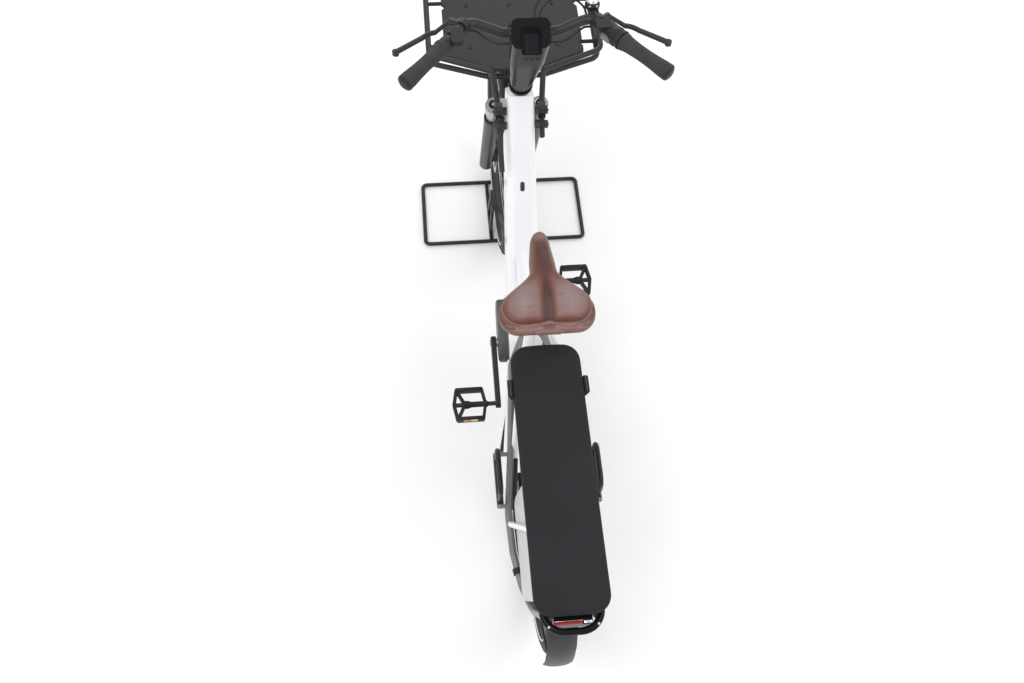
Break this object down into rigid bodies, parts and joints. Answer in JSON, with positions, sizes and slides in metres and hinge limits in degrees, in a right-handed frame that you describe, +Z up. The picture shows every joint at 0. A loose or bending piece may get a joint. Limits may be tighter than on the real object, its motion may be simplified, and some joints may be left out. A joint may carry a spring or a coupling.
{
  "type": "electric bicycle",
  "caption": "Step-through electric bicycle with a front tray, long rear seat pad, leather saddle and a wire floor stand under its front wheel.",
  "frame": {"origin": "on the ground under the middle of the whole object", "axes": "+X to the right of the rider, +Y forwards, +Z up"},
  "size_m": [0.583, 1.8679, 1.1731],
  "materials": {
    "white_paint": "gloss",
    "black_metal": "satin",
    "light_grey_metal": "satin",
    "grey_metal": "satin",
    "bright_metal": "satin",
    "steel": "satin",
    "rotor_steel": "satin",
    "motor_cover": "matte",
    "black_plastic": "matte",
    "screen": "gloss",
    "red_lens": "gloss",
    "lamp_body": "gloss",
    "brown_leather": "satin",
    "pad_fabric": "matte",
    "tyre_rubber": "matte",
    "grip_rubber": "matte",
    "belt_rubber": "matte",
    "fender_plastic": "satin",
    "board": "satin"
  },
  "bodies": {
    "frame": {"frame": "white_paint", "rear_frame": "white_paint", "side_rails": "white_paint", "drive_unit": "grey_metal", "motor_cover_left": "motor_cover", "motor_cover_right": "motor_cover", "seat_post": "black_metal", "saddle": "brown_leather", "saddle_rails": "steel", "seat_pad": "pad_fabric", "rack_end_loop": "black_metal", "tail_light": "red_lens", "rear_fender": "fender_plastic", "drive_belt": "belt_rubber", "rear_caliper": "black_metal", "front_rack": "black_metal", "tray_board": "board", "headlamp": "lamp_body", "side_panels": "light_grey_metal", "rail_cable": "black_plastic"},
    "front_end": {"fork_lowers": "grey_metal", "fork_upper": "bright_metal", "stem": "black_metal", "handlebar": "black_metal", "grips": "grip_rubber", "brake_levers": "black_metal", "shifter": "black_plastic", "remote": "black_plastic", "bell": "bright_metal", "display": "screen", "front_caliper": "black_metal", "display_stand": "black_metal", "spacer_ring": "lamp_body", "fork_caps": "black_plastic", "bar_hoses": "black_plastic"},
    "front_wheel": {"front_tyre": "tyre_rubber", "front_rim": "black_metal", "front_spokes": "steel", "front_hub": "black_metal", "front_rotor": "rotor_steel"},
    "rear_wheel": {"rear_tyre": "tyre_rubber", "rear_rim": "black_metal", "rear_spokes": "steel", "rear_hub": "black_metal", "rear_rotor": "rotor_steel", "rear_pulley": "steel"},
    "crank": {"crank_left": "black_metal", "crank_right": "black_metal", "crank_axle": "steel"},
    "pedal_left": {"pedal_left": "black_plastic"},
    "pedal_right": {"pedal_right": "black_plastic"},
    "footrest_left": {"footrest_left": "black_metal"},
    "footrest_right": {"footrest_right": "black_metal"},
    "centre_stand": {"centre_stand": "black_metal"}
  },
  "joints": [
    {"name": "steering", "type": "hinge", "parent": "frame", "child": "front_end", "pos_m": [0, 0.34088, 0.83197], "axis": [0, -0.3584, 0.9336], "range_deg": [-50, 50]},
    {"name": "front_wheel_spin", "type": "hinge", "parent": "front_end", "child": "front_wheel", "pos_m": [0, 0.594, 0.34], "axis": [1, 0, 0], "continuous": true},
    {"name": "rear_wheel_spin", "type": "hinge", "parent": "frame", "child": "rear_wheel", "pos_m": [0, -0.551, 0.34], "axis": [1, 0, 0], "continuous": true},
    {"name": "crank_spin", "type": "hinge", "parent": "frame", "child": "crank", "pos_m": [0, -0.048, 0.278], "axis": [1, 0, 0], "continuous": true},
    {"name": "pedal_left_spin", "type": "hinge", "parent": "crank", "child": "pedal_left", "pos_m": [-0.157, -0.21609, 0.25258], "axis": [1, 0, 0], "continuous": true},
    {"name": "pedal_right_spin", "type": "hinge", "parent": "crank", "child": "pedal_right", "pos_m": [0.157, 0.12009, 0.30342], "axis": [1, 0, 0], "continuous": true},
    {"name": "footrest_left_fold", "type": "hinge", "parent": "frame", "child": "footrest_left", "pos_m": [-0.112, -0.529, 0.5], "axis": [0, -1, 0], "range_deg": [0, 90]},
    {"name": "footrest_right_fold", "type": "hinge", "parent": "frame", "child": "footrest_right", "pos_m": [0.112, -0.529, 0.5], "axis": [0, 1, 0], "range_deg": [0, 90]},
    {"name": "centre_stand_swing", "type": "hinge", "parent": "frame", "child": "centre_stand", "pos_m": [0, -0.127, 0.215], "axis": [1, 0, 0], "range_deg": [0, 95], "stiffness_Nm_per_rad": 1.6, "springref_deg": -68.75}
  ]
}
